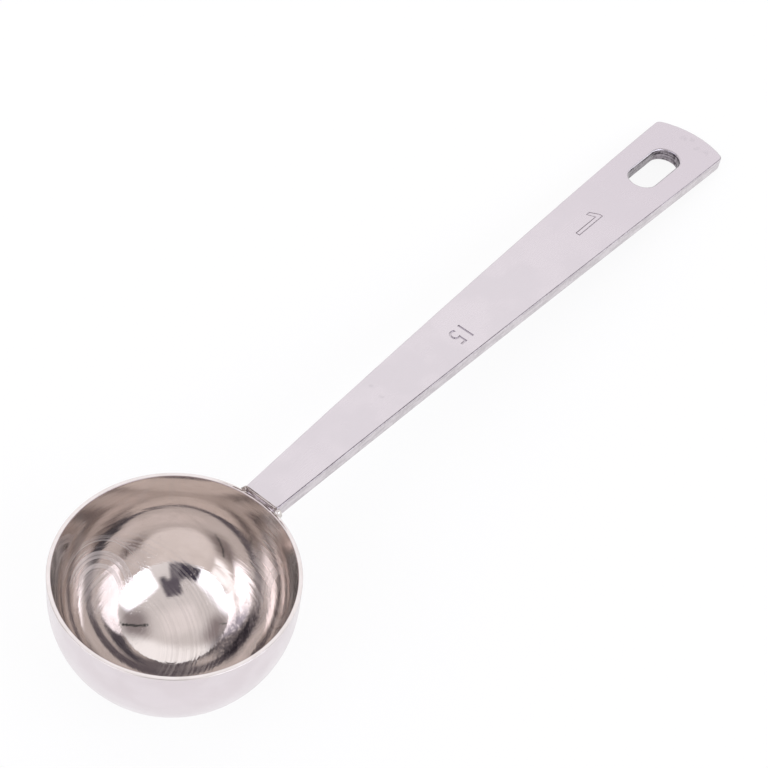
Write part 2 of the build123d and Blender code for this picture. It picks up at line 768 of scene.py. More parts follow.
    def draw_gleam(self, coat: Coat) -> None:
        """Draws every gleam out across the lines that run round the axis.

        Args:
            coat: The material's nodes.
        """
        round_axis: Inputs = {0: coat.join(coat.y * -1.0, coat.x, 0.0)}
        spaces = {"vector_type": "VECTOR", "convert_from": "OBJECT", "convert_to": "WORLD"}
        tangent = coat.signal(0, "ShaderNodeVectorTransform", round_axis, **spaces)
        coat.feed(coat.steel, {"Anisotropic": self.anisotropy, "Tangent": tangent})
        coat.feed(coat.steel, {"Anisotropic Rotation": self.gleam_turn})


@dataclass(frozen=True)
class RimPolish(Steel):
    """The dressed rim: a soft polish, with painted shade along its inner edge, and stained at the weld."""

    # Painted shade along the rim's inner edge: its dark colour, how much of it there is, and the radii over
    # which it fades out.
    roll: Colour = (0.36, 0.285, 0.28)
    painted_shade_share: float = 0.85
    painted_shade_radii: Span = (17.38, 17.46)
    heat_scale: Colour = (0.17, 0.115, 0.10)
    seat_place: Triple = (17.7, 0.0, 0.0)
    heat_reach: Span = (4.0, 7.5)
    ring_radius: float = 17.64
    ring_softness: Span = (0.05, 0.15)
    scale_patches: Patches = Patches(1.1, 2.0, (0.36, 0.5))
    cloud_scale: float = 0.5
    cloud_level: Span = (0.35, 0.65)
    ripple_scale: float = 1.4
    ripple_depth: float = 4.0

    def write(self, coat: Coat) -> None:
        """Writes the painted shade at the inner edge, the heat stain and the polish.

        Args:
            coat: The material's nodes.
        """
        level_place = coat.join(coat.x, coat.y, 0.0)
        radius = level_place.distance(CENTRE)
        clouds = coat.place.noise(self.cloud_scale, detail=3.0)
        colour = self.tint(clouds.ramp(*self.cloud_level))
        # Painted shade: the rim darkens towards its inner edge.
        colour = radius.fade(*self.painted_shade_radii, self.painted_shade_share).blend(colour, self.roll)
        heated = level_place.distance(self.seat_place).fade(*self.heat_reach)
        on_ring = abs(radius - self.ring_radius).fade(*self.ring_softness)
        colour = (heated * on_ring * self.scale_patches.at(coat.place)).blend(colour, self.heat_scale)
        ripple = coat.place.noise(self.ripple_scale, detail=2.0)
        coat.finish(colour, self.dullness(clouds - MIDDLE_TONE), ripple * self.ripple_depth)


@dataclass(frozen=True)
class SatinPolish(Steel):
    """A soft polish along the handle, with hairlines in it, faint clouds of tint and a few dull scuffs.

    Attributes:
        grain_depth: The relief of the lengthwise grain, in micrometres.
        hairline_depth: The relief of the slanting hairlines.
        tip_colour: The colour that the steel shades into towards the tip.
        scuffs: For each dull scuff, its place on the handle and its radius, in millimetres.
    """

    grain_depth: float = 0.0
    hairline_depth: float = 0.0
    tip_colour: Optional[Colour] = None
    scuffs: tuple[Triple, ...] = ()

    grain_along: float = 0.09
    grain_across: float = 7.0
    grain_fineness: float = 0.62
    hair_along: float = 0.22
    hair_slant: Span = (0.35, 3.1)
    hair_width: float = 0.012
    cloud_scale: float = 0.13
    cloud_level: Span = (0.38, 0.62)
    cloud_dullness: float = 0.6
    tip_shading: Span = (70.0, 135.0)
    scuff_colour: Colour = (0.3, 0.29, 0.31)
    scuff_share: float = 0.16
    scuff_core_share: float = 0.3
    raggedness: float = 3.0
    ragged_scale: float = 1.6

    def write(self, coat: Coat) -> None:
        """Writes the lengthwise grain, the hairlines and the scuffs.

        Args:
            coat: The material's nodes.
        """
        x, y, z = coat.x, coat.y, coat.z
        grain = coat.join(x * self.grain_along, y * self.grain_across, z * self.grain_across)
        grain = grain.noise(1.0, detail=4.0, roughness=self.grain_fineness)
        slant = x * self.hair_slant[0] + y * self.hair_slant[1]
        hair = coat.join(x * self.hair_along, slant, z).noise(1.0, detail=1.0)
        hairline = abs(hair - MIDDLE_TONE).ramp(0.0, self.hair_width)
        clouds = coat.place.noise(self.cloud_scale, detail=2.0)
        colour = self.tint(clouds.ramp(*self.cloud_level))
        if self.tip_colour is not None:
            colour = x.ramp(*self.tip_shading).blend(colour, self.tip_colour)
        ragged = coat.place.noise(self.ragged_scale, detail=3.0, roughness=0.7)
        ragged = (ragged - MIDDLE_TONE) * -self.raggedness
        for *spot, reach in self.scuffs:
            edge = coat.join(x, y, 0.0).distance((*spot, 0.0)) + ragged * reach
            share = edge.fade(self.scuff_core_share * reach, reach, self.scuff_share)
            colour = share.blend(colour, self.scuff_colour)
        roughness = self.dullness((grain - MIDDLE_TONE) + (clouds - MIDDLE_TONE) * self.cloud_dullness)
        coat.finish(colour, roughness, hairline * self.hairline_depth + grain * self.grain_depth)


@dataclass(frozen=True)
class ShearedWall(Steel):
    """A punched wall: bright and dark bands run along it, where the punch burnished and then tore the metal.

    Attributes:
        band_depth: The bands' relief, in micrometres.
        band_scale: How many bands there are to a millimetre of height.
    """

    band_depth: float = 0.0
    band_scale: float = 5.0
    band_along: float = 0.25
    band_fineness: float = 0.65
    tear_along: float = 2.2
    tear_share: float = 0.3
    dark_level: Span = (0.42, 0.58)

    def write(self, coat: Coat) -> None:
        """Writes the bands and the torn streaks across them.

        Args:
            coat: The material's nodes.
        """
        bands = coat.join(coat.x * self.band_along, coat.y * self.band_along, coat.z * self.band_scale)
        bands = bands.noise(1.0, detail=3.0, roughness=self.band_fineness)
        tear = coat.join(coat.x * self.tear_along, coat.y * self.tear_along, coat.z).noise(1.0, detail=2.0)
        mixed = tear * self.tear_share + bands * (1.0 - self.tear_share)
        colour = self.tint(mixed.ramp(*self.dark_level))
        coat.finish(colour, self.dullness(tear - MIDDLE_TONE), mixed * self.band_depth)


@dataclass(frozen=True)
class FusedMetal(Steel):
    """Weld metal that ran and froze: rippled, a little dull, tinted in clouds, and darker towards the
    handle's left side.
    """

    ripple_depth: float = 0.0
    ripple_scale: float = 3.4
    ripple_fineness: float = 0.6
    heat_scale: float = 1.3
    left_darkening: float = 0.06
    heat_level: Span = (0.42, 0.66)

    def write(self, coat: Coat) -> None:
        """Writes the ripples and the tint.

        Args:
            coat: The material's nodes.
        """
        ripple = coat.place.noise(self.ripple_scale, detail=3.0, roughness=self.ripple_fineness)
        # The tint's share grows towards the handle's left side, so the left drop comes out darker.
        heat = coat.y * self.left_darkening + coat.place.noise(self.heat_scale, detail=1.0)
        colour = self.tint(heat.ramp(*self.heat_level))
        coat.finish(colour, self.dullness(ripple - MIDDLE_TONE), ripple * self.ripple_depth)


SurfaceOf = Callable[[Vector, Vector], Enum]


def dress(piece: Object, finishes: dict[Enum, Steel], fit: Fit, surface_of: SurfaceOf) -> None:
    """Gives a piece one material slot for each of its finishes, and each face its own.

    Args:
        piece: The object, in the spoon's own frame.
        finishes: Its finishes, by the surface that they go on.
        fit: The spoon's sizes and place.
        surface_of: Takes a face's middle and normal and says which surface it is on.
    """
    piece.data.materials.clear()
    for finish in finishes.values():
        piece.data.materials.append(finish.material(fit))
    surfaces = list(finishes)
    for face in piece.data.polygons:
        face.material_index = surfaces.index(surface_of(face.center, face.normal))


# ---------------------------------------------------------------- the bowl


class BowlSurface(Enum):
    """The bowl's surfaces that are finished differently."""

    OUTSIDE = "outside"
    INSIDE = "inside"
    RIM = "rim"


@dataclass
class Bowl:
    """The drawn cup: a half ball under a short straight wall, with a dressed rim and a pressed flat."""

    fit: Fit
    sides: int = 256
    rim_rounding: float = 0.136 * MM
    rim_segments: int = 4
    rim_slope: float = 0.05
    seat_floor: float = 2.95 * MM
    seat_runout: float = 0.6 * MM

    outside: Steel = SpunPolish(
        "bowl_outside_polish", (0.765, 0.705, 0.73), (0.735, 0.67, 0.695), 0.22, 0.08,
        line_depth=1.0, wave_depth=6.0, haze=0.1, flank_haze=0.03,
    )
    inside: Steel = SpunPolish(
        "bowl_inside_polish", (0.745, 0.688, 0.657), (0.715, 0.658, 0.624), 0.04, 0.04,
        line_depth=13.0, wave_depth=9.0, scuff_depth=0.8, pit_depth=6.0,
        anisotropy=0.4, haze=0.05, flank_haze=0.02, silver=0.35, painted_reflection=0.92,
        # The last setting here is the painted reflection: a dark speckled patch low in the bowl.
        marks=(
            WheelMark((-2.6, 13.6, -15.9), (0.68, 0.27, 0.67), 2.5, 10.0, 4.0, 0.06, 2.1, 0.5),
            WheelMark((-5.0, 7.0, -19.0), (0.63, -0.77, 0.12), 6.5, 18.0, 2.5, 0.04, 1.9, 0.2),
            WheelMark((17.0, -12.0, -12.0), (-0.8, 0.5, -0.3), 4.0, 9.5, 4.0, 0.05, 1.8, 0.12),
        ),
    )
    rim: Steel = RimPolish("rim_polish", (0.73, 0.685, 0.67), (0.69, 0.645, 0.625), 0.2, 0.1)

    def build(self) -> Object:
        """Shapes the cup from a ball and lays it in its place.

        Returns:
            The bowl, in its place.
        """
        bowl = self.draw_cup()
        self.round_rim(bowl)
        self.press_seat(bowl)
        finishes = {
            BowlSurface.OUTSIDE: self.outside,
            BowlSurface.INSIDE: self.inside,
            BowlSurface.RIM: self.rim,
        }
        dress(bowl, finishes, self.fit, self.surface_of)
        self.fit.lay_down(bowl)
        smooth(bowl)
        return bowl

    def draw_cup(self) -> Object:
        """Draws the half ball up into a straight wall, and gives it its thickness.

        Returns:
            The cup, in the spoon's own frame.
        """
        shoulder = -self.fit.straight_wall_depth
        deselect_all()
        bpy.ops.mesh.primitive_uv_sphere_add(
            segments=self.sides,
            ring_count=self.sides // 2,
            radius=self.fit.bowl_outer_radius,
            location=(0.0, 0.0, shoulder),
        )
        bowl = name_piece(bpy.context.object, "bowl_cup")
        bpy.ops.object.transform_apply(location=True)
        with editing(bowl):
            pick(bowl, Element.FACE, lambda face: face.calc_center_median().z > shoulder + TINY)
            bpy.ops.mesh.delete(type="FACE")
            height = shoulder
            for level in (-self.seat_floor - self.seat_runout, -self.seat_floor, -self.seat_floor / 2, 0.0):
                pick(bowl, Element.EDGE, lambda edge: edge.is_boundary and edge.verts[0].co.z > height - TINY)
                rise = {"value": (0.0, 0.0, level - height)}
                bpy.ops.mesh.extrude_edges_move(TRANSFORM_OT_translate=rise)
                height = level
            face_outwards()
        apply_modifier(bowl, "SOLIDIFY", thickness=self.fit.bowl_wall, offset=-1.0, use_even_offset=True)
        return bowl

    def surface_of(self, centre: Vector, normal: Vector) -> BowlSurface:
        """Says which surface a face is on.

        Args:
            centre: The face's middle, in the spoon's own frame.
            normal: The way it faces.

        Returns:
            Its surface.
        """
        if centre.z > -self.rim_rounding - TINY and normal.z > self.rim_slope:
            return BowlSurface.RIM
        outwards = Vector((centre.x, centre.y, min(0.0, centre.z + self.fit.straight_wall_depth)))
        return BowlSurface.OUTSIDE if normal.dot(outwards) > 0 else BowlSurface.INSIDE

    def round_rim(self, bowl: Object) -> None:
        """Eases both edges of the rim and leaves a level ring between them.

        Args:
            bowl: The cup, in the spoon's own frame.
        """
        with editing(bowl):
            pick(bowl, Element.EDGE, self.runs_round_rim)
            round_picked(self.rim_rounding, self.rim_segments)

    def runs_round_rim(self, edge: BMEdge) -> bool:
        """Says whether an edge runs round the rim's top.

        Args:
            edge: An edge of the cup.

        Returns:
            Whether both its ends are on the rim, at one radius.
        """
        first, second = (vertex.co for vertex in edge.verts)
        same_radius = abs(hypot(first.x, first.y) - hypot(second.x, second.y)) < self.fit.bowl_wall / 4
        return min(first.z, second.z) > -TINY and same_radius

    def press_seat(self, bowl: Object) -> None:
        """Presses the shallow flat that the handle's end stands against.

        Args:
            bowl: The cup, in the spoon's own frame.
        """
        seat = self.fit.seat_distance
        lowest = -self.seat_floor - TINY
        with editing(bowl):
            pick(bowl, Element.VERTEX, lambda vertex: vertex.co.x > seat and vertex.co.z > lowest)
            bpy.ops.transform.resize(value=(0.0, 1.0, 1.0), center_override=(seat, 0.0, 0.0))


# ---------------------------------------------------------------- the handle


class HandleSurface(Enum):
    """The handle's surfaces that are finished differently."""

    FACE = "face"
    EDGE = "edge"
    # A dark line of painted shade along one eased edge.
    PAINTED_SHADE_LINE = "shoulder"
    SLOT = "slot"
    STAMP = "stamp"
    STAIN = "stain"


@dataclass(frozen=True)
class Numeral:
    """A plain number struck into the handle's top, as full strokes or as a fine line round its outline.

    Attributes:
        digits: The number.
        height: How tall its figures are.
        middle: Its place, from the bowl's axis and to the handle's left.
        turn_degrees: How it is turned, seen from above.
        narrowing: Its width, as a share of the usual.
        line_width: The width of the line round its outline.
        outline: The outline's corners, in heights of the figure from its middle.
    """

    digits: str
    height: float
    middle: Span
    turn_degrees: float
    narrowing: float = 1.0
    line_width: float = 0.0
    outline: tuple[Span, ...] = ()


@dataclass
class Handle:
    """The stamped strip: flared, slightly arched, with a bowed tip, a hanging slot and two struck numbers."""

    fit: Fit
    tip_width: float = 14.5 * MM
    flare_width: float = 13.66 * MM
    flare_share: float = 0.78
    tip_bow: float = 1.9 * MM
    tip_corner_radius: float = 0.8 * MM
    butt_corner_radius: float = 0.6 * MM
    arch_height: float = 0.82 * MM
    edge_radius: float = 0.3 * MM
    slot_length: float = 12.7 * MM
    slot_width: float = 5.34 * MM
    slot_to_tip: float = 14.2 * MM
    slot_edge_radius: float = 0.45 * MM
    stamp_depth: float = 0.16 * MM

    # How finely the strip is divided. The land is the ring of faces round the slot.
    shank_cells: int = 80
    slot_cells: int = 15
    tip_cells: int = 5
    rows: int = 8
    slot_rows: int = 4
    slot_land: float = 1.1 * MM
    arc_cells: int = 22
    corner_segments: int = 8
    edge_segments: int = 4
    slot_edge_segments: int = 6
    figure_resolution: int = 6
    # An end vertex this close to the seat belongs to the butt. The arch and the thickness moved it.
    butt_drift: float = 0.12 * MM
    sharp_degrees: float = 60.0

    # Where a face lies tells which surface it is on. A struck one is sunk by some share of the stamp's
    # depth and lies off the plain ends, and the stain covers a share of the rounded end.
    stamp_sink_shares: Span = (0.1, 1.5)
    plain_butt: float = 1.0 * MM
    plain_tip: float = 2.0 * MM
    stain_share: float = 0.9
    # So does how far it leans, as its normal's upward part.
    flat_slope: float = 0.95
    slot_slope: float = 0.6
    painted_shade_slope: float = 0.75
    # The dark line of painted shade runs along the eased edge on the side that faces right.
    painted_shade_side: float = -0.1

    face: Steel = SatinPolish(
        "handle_satin", (0.60, 0.563, 0.585), (0.63, 0.59, 0.612), 0.26, 0.1,
        grain_depth=0.5, hairline_depth=0.4, tip_colour=(0.575, 0.53, 0.56),
        scuffs=(
            (135.4, 0.9, 0.9), (136.1, -0.5, 0.7), (134.6, -2.6, 0.8),
            (134.9, -4.2, 0.7), (45.3, -0.3, 0.5), (45.9, 2.3, 0.4),
        ),
    )
    edge: Steel = ShearedWall(
        "handle_cut_edge", (0.55, 0.508, 0.535), (0.68, 0.632, 0.662), 0.22, 0.12,
        band_depth=3.0, band_scale=1.6,
    )
    # Painted shade: a dark line along the eased top edge on the side that faces right.
    shoulder: Steel = ShearedWall(
        "handle_edge_painted_shade", (0.15, 0.125, 0.14), (0.30, 0.27, 0.29), 0.18, 0.1,
        band_depth=1.0, band_scale=1.0,
    )
    # The slot's wall: real sheared bands, darkened almost to black by painted shade.
    slot: Steel = ShearedWall(
        "slot_wall_bands_and_painted_shade", (0.05, 0.04, 0.05), (0.34, 0.305, 0.335), 0.16, 0.14, band_depth=14.0
    )
    stamp: Steel = SatinPolish(
        "struck_number", (0.56, 0.52, 0.545), (0.50, 0.465, 0.49), 0.32, 0.1,
        grain_depth=0.8, hairline_depth=0.2,
    )
    stain: Steel = ShearedWall(
        "handle_end_stain", (0.16, 0.13, 0.12), (0.42, 0.37, 0.35), 0.25, 0.2, band_depth=6.0
    )
    numerals: tuple[Numeral, ...] = (
        Numeral(
            "1", 7.3 * MM, (102.1 * MM, 0.2 * MM), -90.0, line_width=0.26 * MM,
            outline=(
                (0.055, -0.5), (0.055, 0.5), (-0.03, 0.5), (-0.25, 0.37),
                (-0.25, 0.25), (-0.045, 0.35), (-0.045, -0.5),
            ),
        ),
        Numeral("15", 3.2 * MM, (64.6 * MM, -0.9 * MM), 180.0, narrowing=0.95),
    )

    @property
    def slot_middle(self) -> float:
        """How far the slot's middle is from the bowl's axis."""
        return self.fit.tip_distance - self.slot_to_tip

    @property
    def half_land(self) -> float:
        """Half the length of the slot with the land round it."""
        return self.slot_length / 2.0 + self.slot_land

    def top_height(self, distance: float) -> float:
        """The height of the handle's top over the mouth's plane.

        Args:
            distance: How far out it is read, from the bowl's axis.

        Returns:
            The height.
        """
        share = (distance - self.fit.seat_distance) / self.fit.handle_reach
        rise = (self.fit.tip_height - self.fit.butt_height) * share
        return self.fit.butt_height + rise + 4.0 * self.arch_height * share * (1.0 - share)

    def half_width(self, along: float) -> float:
        """Half the strip's width, on the gentle curve of its side.

        Args:
            along: How far out it is read, from the seat.

        Returns:
            Half the width.
        """
        pull = self.fit.handle_reach * self.flare_share
        bend = self.fit.handle_reach - self.tip_bow - 2.0 * pull
        step = (sqrt(pull * pull + bend * along) - pull) / bend
        widths = (self.fit.butt_width, self.flare_width, self.tip_width)
        shares = ((1.0 - step) ** 2, 2.0 * step * (1.0 - step), step * step)
        return sum(width * share for width, share in zip(widths, shares)) / 2.0

    def stations(self) -> list[float]:
        """How far from the seat each column of the strip's mesh stands, along its side.

        Returns:
            One distance for each column.
        """
        middle = self.fit.handle_reach - self.slot_to_tip
        ends = (0.0, middle - self.half_land, middle + self.half_land, self.fit.handle_reach - self.tip_bow)
        places = [0.0]
        for start, end, cells in zip(ends, ends[1:], (self.shank_cells, self.slot_cells, self.tip_cells)):
            places += [start + (end - start) * (cell + 1) / cells for cell in range(cells)]
        return places

    def build(self) -> Object:
        """Shapes the strip as a flat sheet, arches it, thickens it, eases its edges and strikes its numbers.

        Returns:
            The handle, in its place.
        """
        strip = self.flat_blank()
        self.punch_slot(strip)
        self.round_corners(strip)
        self.arch(strip)
        apply_modifier(strip, "SOLIDIFY", thickness=self.fit.handle_thickness, offset=-1.0)
        self.square_butt(strip)
        self.ease_edges(strip)
        for number in self.numerals:
            self.strike(strip, number)
        finishes = {
            HandleSurface.FACE: self.face,
            HandleSurface.EDGE: self.edge,
            HandleSurface.PAINTED_SHADE_LINE: self.shoulder,
            HandleSurface.SLOT: self.slot,
            HandleSurface.STAMP: self.stamp,
            HandleSurface.STAIN: self.stain,
        }
        dress(strip, finishes, self.fit, self.surface_of)
        self.fit.lay_down(strip)
        smooth(strip)
        return strip

    def flat_blank(self) -> Object:
        """Cuts the flared blank with its bowed tip, lying in the mouth's plane.

        Returns:
            The sheet, in the spoon's own frame.
        """
        places = self.stations()
        columns = len(places)
        deselect_all()
        bpy.ops.mesh.primitive_grid_add(
            x_subdivisions=columns - 1, y_subdivisions=self.rows, size=1.0, location=CENTRE
        )
        strip = name_piece(bpy.context.object, "handle_strip")
        with editing(strip):
            for column, along in enumerate(places):
                pick(strip, Element.VERTEX, lambda vertex: vertex.index % columns == column)
                start = column / (columns - 1) - 0.5
                stretch = (1.0, 2.0 * self.half_width(along), 1.0)
                bpy.ops.transform.resize(value=stretch, center_override=(start, 0.0, 0.0))
                bpy.ops.transform.translate(value=(self.fit.seat_distance + along - start, 0.0, 0.0))
            bow_radius = ((self.tip_width / 2.0) ** 2 + self.tip_bow**2) / (2.0 * self.tip_bow)
            for step in range(1, self.tip_cells + 1):
                column = columns - 1 - self.tip_cells + step
                for row in range(1, self.rows):
                    side = (row / self.rows - 0.5) * 2.0 * self.half_width(places[column])
                    push = self.tip_bow - (bow_radius - sqrt(bow_radius**2 - side**2))
                    pick(strip, Element.VERTEX, lambda vertex: vertex.index == row * columns + column)
                    bpy.ops.transform.translate(value=(push * step / self.tip_cells, 0.0, 0.0))
        return strip

    def in_window(self, place: Vector, margin: float) -> bool:
        """Says whether a point is in the window that is cut for the slot and its land.

        Args:
            place: The point, on the flat sheet.
            margin: How far outside the window still counts.

        Returns:
            Whether it is.
        """
        side = self.half_width(place.x - self.fit.seat_distance) * self.slot_rows / self.rows
        return abs(place.x - self.slot_middle) < self.half_land + margin and abs(place.y) < side + margin

    def punch_slot(self, strip: Object) -> None:
        """Opens the round-ended slot in the sheet.

        Args:
            strip: The flat sheet.
        """
        margin = self.slot_land / 4.0
        with editing(strip):
            pick(strip, Element.FACE, lambda face: self.in_window(face.calc_center_median(), 0.0))
            bpy.ops.mesh.delete(type="FACE")
            pick(strip, Element.EDGE, lambda edge: edge.is_boundary and self.edge_in_window(edge, margin))
            bpy.ops.mesh.subdivide(number_cuts=1)
            self.draw_slot(strip)
            pick(strip, Element.EDGE, lambda edge: edge.is_wire)
            bpy.ops.transform.translate(value=(0.0, 0.0, self.slot_width))
            pick(
                strip,
                Element.EDGE,
                lambda edge: (edge.is_boundary or edge.is_wire) and self.edge_in_window(edge, margin),
            )
            bpy.ops.mesh.bridge_edge_loops()
            pick(strip, Element.VERTEX, lambda vertex: vertex.co.z > TINY)
            bpy.ops.transform.resize(value=(1.0, 1.0, 0.0), center_override=(self.slot_middle, 0.0, 0.0))
            face_outwards()
            if sum(face.normal.z for face in bmesh.from_edit_mesh(strip.data).faces) < 0.0:
                bpy.ops.mesh.flip_normals()

    def edge_in_window(self, edge: BMEdge, margin: float) -> bool:
        """Says whether both ends of an edge are in the slot's window, give or take a margin."""
        return all(self.in_window(vertex.co, margin) for vertex in edge.verts)

    def draw_slot(self, strip: Object) -> None:
        """Draws the slot's outline as loose edges: two half circles and the straight lines between them.

        Args:
            strip: The flat sheet, in edit mode.
        """
        middle = self.slot_middle
        radius = self.slot_width / 2.0
        reach = (self.slot_length - self.slot_width) / 2.0

        def on_inner_half(place: Vector, way: float) -> bool:
            """Says whether a point is on the half of an end's circle that faces the slot's middle."""
            in_slot = abs(place.y) < radius + TINY and abs(place.x - middle) < self.slot_length / 2.0 + TINY
            return in_slot and reach - radius - TINY < (place.x - middle) * way < reach - TINY

        for way in (1.0, -1.0):
            bpy.ops.mesh.select_all(action="DESELECT")
            bpy.ops.mesh.primitive_circle_add(
                vertices=2 * self.arc_cells, radius=radius, location=(middle + way * reach, 0.0, 0.0)
            )
            pick(strip, Element.VERTEX, lambda vertex: on_inner_half(vertex.co, way))
            bpy.ops.mesh.delete(type="VERT")
        straight_cells = self.slot_cells * 2 + self.slot_rows * 2 - self.arc_cells
        for side in (radius, -radius):

            def on_line(place: Vector) -> bool:
                """Says whether a point is on the straight line at this side of the slot."""
                return abs(place.y - side) < TINY and abs(place.x - middle) < reach + TINY

            pick(
                strip,
                Element.VERTEX,
                lambda vertex: on_line(vertex.co) and abs(abs(vertex.co.x - middle) - reach) < TINY,
            )
            bpy.ops.mesh.edge_face_add()
            pick(strip, Element.EDGE, lambda edge: all(on_line(vertex.co) for vertex in edge.verts))
            bpy.ops.mesh.subdivide(number_cuts=straight_cells - 1)

    def round_corners(self, strip: Object) -> None:
        """Rounds the blank's four corners, seen from above.

        Args:
            strip: The flat sheet.
        """
        tip = self.fit.tip_distance - self.tip_bow
        corners = (
            (self.fit.seat_distance, self.fit.butt_width / 2.0, self.butt_corner_radius),
            (tip, self.tip_width / 2.0, self.tip_corner_radius),
        )
        with editing(strip):
            for place, side, radius in corners:
                pick(
                    strip,
                    Element.VERTEX,
                    lambda vertex: abs(vertex.co.x - place) < LOOSE and abs(abs(vertex.co.y) - side) < LOOSE,
                )
                round_picked(radius, self.corner_segments, "VERTICES")

    def arch(self, strip: Object) -> None:
        """Lifts the sheet to the height of the handle's top, one line across it after another.

        Args:
            strip: The flat sheet.
        """
        with editing(strip):
            places = sorted({round(vertex.co.x, 7) for vertex in bmesh.from_edit_mesh(strip.data).verts})
            for place in places:
                pick(strip, Element.VERTEX, lambda vertex: round(vertex.co.x, 7) == place)
                bpy.ops.transform.translate(value=(0.0, 0.0, self.top_height(place)))

    def square_butt(self, strip: Object) -> None:
        """Cuts the strip's end square to the mouth, to stand flat against the bowl.

        Args:
            strip: The thick strip.
        """
        seat = self.fit.seat_distance
        side = self.fit.butt_width / 2.0 - self.butt_corner_radius + TINY
        with editing(strip):
            pick(
                strip,
                Element.VERTEX,
                lambda vertex: abs(vertex.co.x - seat) < self.butt_drift and abs(vertex.co.y) < side,
            )
            bpy.ops.transform.resize(value=(0.0, 1.0, 1.0), center_override=(seat, 0.0, 0.0))

    def is_sharp(self, edge: BMEdge) -> bool:
        """Says whether an edge has the strip's square corner on it."""
        return len(edge.link_faces) == 2 and edge.calc_face_angle(0.0) > radians(self.sharp_degrees)

    def near_slot(self, place: Vector, margin: float) -> bool:
        """Says whether a point is at the slot, or no further from it than a margin."""
        across = abs(place.x - self.slot_middle) - (self.slot_length - self.slot_width) / 2.0
        return hypot(max(across, 0.0), place.y) < self.slot_width / 2.0 + margin

    def is_slot_top(self, edge: BMEdge) -> bool:
        """Says whether an edge is the slot's upper one.

        Args:
            edge: A sharp or flat edge of the strip.

        Returns:
            Whether it is.
        """
        place = edge.verts[0].co
        above_middle = place.z > self.top_height(place.x) - self.fit.handle_thickness / 2.0
        return above_middle and self.is_sharp(edge) and self.near_slot(place, self.slot_edge_radius / 4.0)

    def ease_edges(self, strip: Object) -> None:
        """Rounds the slot's upper edge softly, and then every other square edge.

        Args:
            strip: The thick strip.
        """
        with editing(strip):
            pick(strip, Element.EDGE, self.is_slot_top)
            round_picked(self.slot_edge_radius, self.slot_edge_segments)
            pick(strip, Element.EDGE, self.is_sharp)
            round_picked(self.edge_radius, self.edge_segments)
            face_outwards()

    def stroke_punch(self, number: Numeral) -> tuple[Object, float]:
        """Makes a punch whose figures are full strokes.

        Args:
            number: What is struck.

        Returns:
            The punch, with its figures about one unit high, and half its thickness.
        """
        half_thickness = 0.5
        deselect_all()
        bpy.ops.object.text_add(location=CENTRE)
        punch = bpy.context.object
        punch.data.body = number.digits
        punch.data.align_x = "CENTER"
        punch.data.align_y = "CENTER"
        punch.data.resolution_u = self.figure_resolution
        punch.data.extrude = half_thickness
        bpy.ops.object.convert(target="MESH")
        return bpy.context.object, half_thickness

    def outline_punch(self, number: Numeral) -> tuple[Object, float]:
        """Makes a punch that is a fine round line along a figure's outline.

        Args:
            number: What is struck.

        Returns:
            The punch, with its figure one unit high, and the line's radius.
        """
        radius = number.line_width / number.height / 2.0
        deselect_all()
        bpy.ops.mesh.primitive_circle_add(vertices=len(number.outline), radius=1.0, location=CENTRE)
        punch = bpy.context.object
        with editing(punch):
            for index, (across, up) in enumerate(number.outline):
                pick(punch, Element.VERTEX, lambda vertex: vertex.index == index)
                corner = bmesh.from_edit_mesh(punch.data).verts[index].co
                bpy.ops.transform.translate(value=(across - corner.x, up - corner.y, 0.0))
        bpy.ops.object.convert(target="CURVE")
        punch = bpy.context.object
        punch.data.bevel_depth = radius
        punch.data.bevel_resolution = 2
        bpy.ops.object.convert(target="MESH")
        return bpy.context.object, radius

    def strike(self, strip: Object, number: Numeral) -> None:
        """Strikes one number into the strip's top.

        Args:
            strip: The thick strip.
            number: What is struck, and where.
        """
        punch, half_depth = self.outline_punch(number) if number.outline else self.stroke_punch(number)
        corners = [vertex.co for vertex in punch.data.vertices]
        low = Vector((min(corner.x for corner in corners), min(corner.y for corner in corners), 0.0))
        high = Vector((max(corner.x for corner in corners), max(corner.y for corner in corners), 0.0))
        scale = number.height / (high.y - low.y)
        rest = self.top_height(number.middle[0])
        slope = (self.top_height(number.middle[0] + MM) - rest) / MM
        lean = Matrix.Rotation(-atan2(slope, 1.0), 4, "Y")
        turn = Matrix.Rotation(radians(number.turn_degrees), 4, "Z")
        size = Matrix.Diagonal((scale * number.narrowing, scale, self.stamp_depth / half_depth, 1.0))
        centring = Matrix.Translation(-(low + high) / 2.0)
        punch.matrix_world = Matrix.Translation((*number.middle, rest)) @ lean @ turn @ size @ centring
        bpy.context.view_layer.update()
        bpy.ops.object.transform_apply(location=True, rotation=True, scale=True)
        with editing(punch):
            face_outwards()
        apply_modifier(strip, "BOOLEAN", operation="DIFFERENCE", solver="EXACT", object=punch)
        bpy.data.objects.remove(punch)

    def surface_of(self, centre: Vector, normal: Vector) -> HandleSurface:
        """Says which surface a face is on.

        Args:
            centre: The face's middle, in the spoon's own frame.
            normal: The way it faces.

        Returns:
            Its surface.
        """
        seat = self.fit.seat_distance
        sunk = self.top_height(centre.x) - centre.z
        if self.near_slot(centre, self.slot_edge_radius) and -self.flat_slope < normal.z < self.slot_slope:
            return HandleSurface.SLOT
        shallowest, deepest = (share * self.stamp_depth for share in self.stamp_sink_shares)
        struck = shallowest < sunk < deepest
        inboard = abs(centre.y) < self.half_width(centre.x - seat) - 2.0 * self.edge_radius
        if struck and inboard and seat + self.plain_butt < centre.x < self.fit.tip_distance - self.plain_tip:
            return HandleSurface.STAMP
        if centre.x < seat + self.stain_share * self.edge_radius and sunk < self.edge_radius:
            return HandleSurface.STAIN
        # The dark line of painted shade on the right-facing eased edge.
        if self.painted_shade_slope < normal.z < self.flat_slope and normal.y < self.painted_shade_side:
            return HandleSurface.PAINTED_SHADE_LINE
        return HandleSurface.FACE if abs(normal.z) > self.flat_slope else HandleSurface.EDGE


# ---------------------------------------------------------------- the weld


